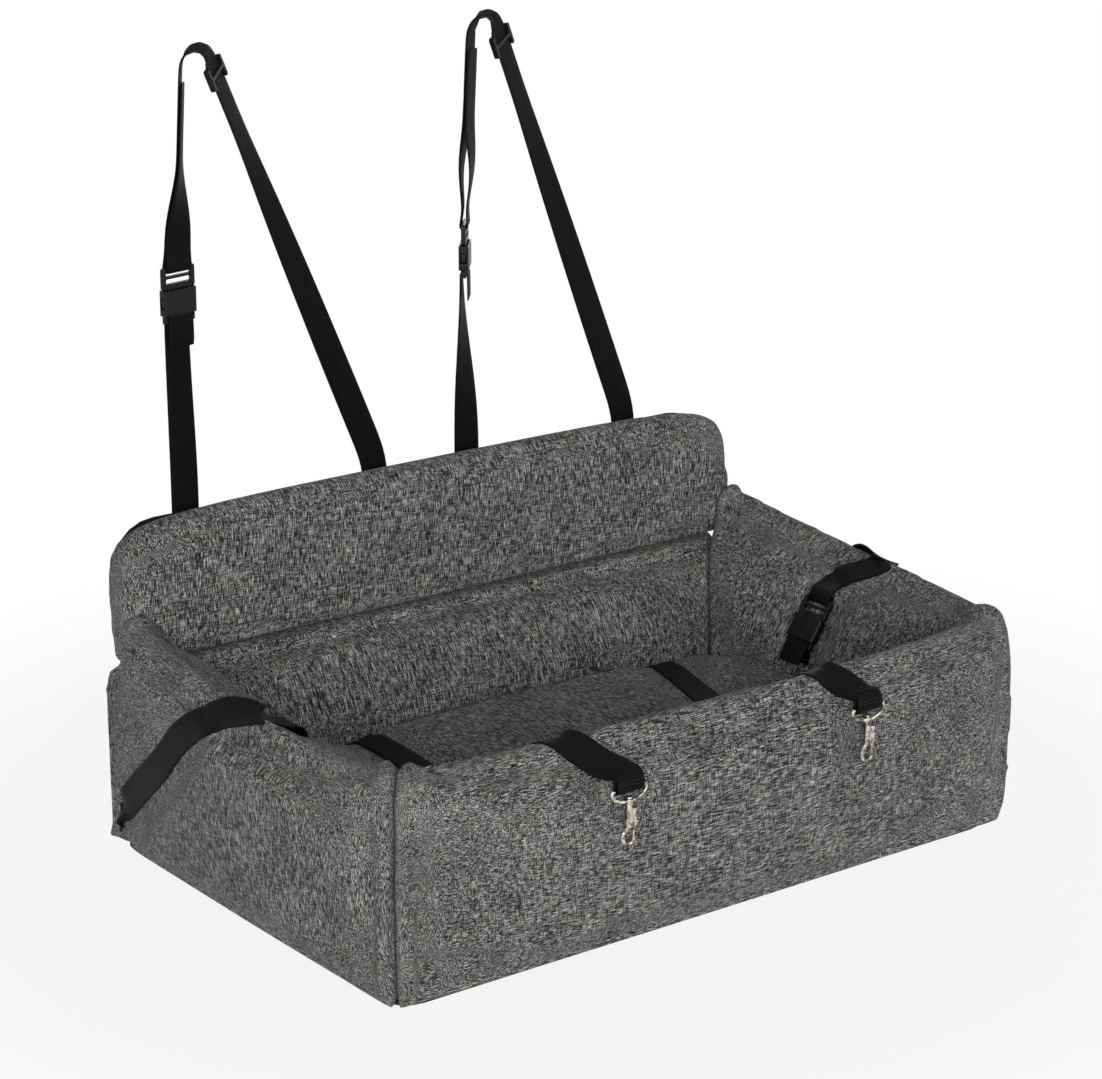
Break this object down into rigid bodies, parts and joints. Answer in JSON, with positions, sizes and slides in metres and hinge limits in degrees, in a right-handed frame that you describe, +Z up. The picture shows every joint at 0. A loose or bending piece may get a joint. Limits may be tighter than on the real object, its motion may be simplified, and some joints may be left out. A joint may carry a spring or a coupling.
{
  "type": "dog car seat",
  "caption": "Bolstered dog car seat with a padded mat, a fold-back rear panel, headrest strap loops, side straps and two safety tethers with swivel snap hooks.",
  "frame": {"origin": "middle of the underside's footprint, on the floor", "axes": "+Z up; -Y the open front with the tethers; +X to the right seen from the front"},
  "size_m": [0.8638, 0.5948, 0.8305],
  "materials": {
    "melange_fabric": "melange woven polyester",
    "black_oxford": "coated non-slip weave",
    "black_webbing": "woven webbing with a faint sheen",
    "black_acetal": "moulded acetal, satin",
    "nickel_plate": "bright nickel plating on cast zinc",
    "polyester_filling": "loose polyester fibre"
  },
  "bodies": {
    "seat": {"back_roll_cover": "melange_fabric", "back_roll_filling": "polyester_filling", "base_underside": "black_oxford", "front_bolster_cover": "melange_fabric", "front_bolster_filling": "polyester_filling", "left_bolster_cover": "melange_fabric", "left_bolster_filling": "polyester_filling", "right_bolster_cover": "melange_fabric", "right_bolster_filling": "polyester_filling", "seat_cushion_cover": "melange_fabric", "seat_cushion_filling": "polyester_filling", "side_buckle_left_plug": "black_acetal", "side_buckle_left_socket": "black_acetal", "side_buckle_right_plug": "black_acetal", "side_buckle_right_socket": "black_acetal", "side_strap_left_inner": "black_webbing", "side_strap_left_outer": "black_webbing", "side_strap_right_inner": "black_webbing", "side_strap_right_outer": "black_webbing", "tether_strap_left": "black_webbing", "tether_strap_right": "black_webbing"},
    "back_panel": {"back_panel_backing": "black_oxford", "back_panel_cover": "melange_fabric", "back_panel_filling": "polyester_filling", "headrest_buckle_left_plug": "black_acetal", "headrest_buckle_left_socket": "black_acetal", "headrest_buckle_right_plug": "black_acetal", "headrest_buckle_right_socket": "black_acetal", "headrest_strap_left_long": "black_webbing", "headrest_strap_left_short": "black_webbing", "headrest_strap_right_long": "black_webbing", "headrest_strap_right_short": "black_webbing"},
    "glide_left": {"glide_left": "black_acetal"},
    "glide_right": {"glide_right": "black_acetal"},
    "hook_left_eye": {"hook_left_eye": "nickel_plate"},
    "hook_left": {"hook_left_body": "nickel_plate", "hook_left_spring": "nickel_plate"},
    "hook_left_bolt": {"hook_left_bolt": "nickel_plate"},
    "hook_right_eye": {"hook_right_eye": "nickel_plate"},
    "hook_right": {"hook_right_body": "nickel_plate", "hook_right_spring": "nickel_plate"},
    "hook_right_bolt": {"hook_right_bolt": "nickel_plate"},
    "side_buckle_left_prong_left": {"side_buckle_left_prong_left": "black_acetal"},
    "side_buckle_left_prong_right": {"side_buckle_left_prong_right": "black_acetal"},
    "side_buckle_right_prong_left": {"side_buckle_right_prong_left": "black_acetal"},
    "side_buckle_right_prong_right": {"side_buckle_right_prong_right": "black_acetal"},
    "headrest_buckle_left_prong_left": {"headrest_buckle_left_prong_left": "black_acetal"},
    "headrest_buckle_left_prong_right": {"headrest_buckle_left_prong_right": "black_acetal"},
    "headrest_buckle_right_prong_left": {"headrest_buckle_right_prong_left": "black_acetal"},
    "headrest_buckle_right_prong_right": {"headrest_buckle_right_prong_right": "black_acetal"}
  },
  "joints": [
    {"name": "back_panel_fold", "type": "hinge", "parent": "seat", "child": "back_panel", "pos_m": [0, 0.2195, 0.2282], "axis": [-1, 0, 0], "range_deg": [0, 90]},
    {"name": "glide_left_slide", "type": "slide", "parent": "back_panel", "child": "glide_left", "axis": [0.3885, 0, -0.9215], "range_m": [0, 0.05]},
    {"name": "glide_right_slide", "type": "slide", "parent": "back_panel", "child": "glide_right", "axis": [0.3601, 0, -0.9329], "range_m": [0, 0.05]},
    {"name": "hook_left_swing", "type": "hinge", "parent": "seat", "child": "hook_left_eye", "pos_m": [-0.156, -0.316, 0.187], "axis": [-1, 0, 0], "range_deg": [0, 90]},
    {"name": "hook_left_swivel", "type": "hinge", "parent": "hook_left_eye", "child": "hook_left", "pos_m": [-0.156, -0.316, 0.187], "axis": [0, 0, 1], "continuous": true},
    {"name": "hook_left_bolt_slide", "type": "slide", "parent": "hook_left", "child": "hook_left_bolt", "axis": [0, 0, 1], "range_m": [0, 0.0065], "stiffness_N_per_m": 300, "springref_m": -0.004, "deforming": ["hook_left_spring"]},
    {"name": "hook_right_swing", "type": "hinge", "parent": "seat", "child": "hook_right_eye", "pos_m": [0.146, -0.316, 0.201], "axis": [-1, 0, 0], "range_deg": [0, 90]},
    {"name": "hook_right_swivel", "type": "hinge", "parent": "hook_right_eye", "child": "hook_right", "pos_m": [0.146, -0.316, 0.201], "axis": [0, 0, 1], "continuous": true},
    {"name": "hook_right_bolt_slide", "type": "slide", "parent": "hook_right", "child": "hook_right_bolt", "axis": [0, 0, 1], "range_m": [0, 0.0065], "stiffness_N_per_m": 300, "springref_m": -0.004, "deforming": ["hook_right_spring"]},
    {"name": "side_buckle_left_prong_left_flex", "type": "hinge", "parent": "seat", "child": "side_buckle_left_prong_left", "pos_m": [-0.32935, -0.01146, 0.18143], "axis": [-0.8448, 0, -0.5351], "range_deg": [0, 7], "stiffness_Nm_per_rad": 2.4},
    {"name": "side_buckle_left_prong_right_flex", "type": "hinge", "parent": "seat", "child": "side_buckle_left_prong_right", "pos_m": [-0.32928, -0.03886, 0.18133], "axis": [0.8448, 0, 0.5351], "range_deg": [0, 7], "stiffness_Nm_per_rad": 2.4},
    {"name": "side_buckle_right_prong_left_flex", "type": "hinge", "parent": "seat", "child": "side_buckle_right_prong_left", "pos_m": [0.32928, -0.03886, 0.18133], "axis": [0.8448, 0, -0.5351], "range_deg": [0, 7], "stiffness_Nm_per_rad": 2.4},
    {"name": "side_buckle_right_prong_right_flex", "type": "hinge", "parent": "seat", "child": "side_buckle_right_prong_right", "pos_m": [0.32935, -0.01146, 0.18143], "axis": [-0.8448, 0, 0.5351], "range_deg": [0, 7], "stiffness_Nm_per_rad": 2.4},
    {"name": "headrest_buckle_left_prong_left_flex", "type": "hinge", "parent": "back_panel", "child": "headrest_buckle_left_prong_left", "pos_m": [-0.31099, 0.24152, 0.5879], "axis": [0.1736, -0.9848, 0], "range_deg": [0, 7], "stiffness_Nm_per_rad": 2.4},
    {"name": "headrest_buckle_left_prong_right_flex", "type": "hinge", "parent": "back_panel", "child": "headrest_buckle_left_prong_right", "pos_m": [-0.28401, 0.24628, 0.5879], "axis": [-0.1736, 0.9848, 0], "range_deg": [0, 7], "stiffness_Nm_per_rad": 2.4},
    {"name": "headrest_buckle_right_prong_left_flex", "type": "hinge", "parent": "back_panel", "child": "headrest_buckle_right_prong_left", "pos_m": [0.04969, 0.23341, 0.5879], "axis": [0.766, -0.6428, 0], "range_deg": [0, 7], "stiffness_Nm_per_rad": 2.4},
    {"name": "headrest_buckle_right_prong_right_flex", "type": "hinge", "parent": "back_panel", "child": "headrest_buckle_right_prong_right", "pos_m": [0.06731, 0.25439, 0.5879], "axis": [-0.766, 0.6428, 0], "range_deg": [0, 7], "stiffness_Nm_per_rad": 2.4}
  ]
}
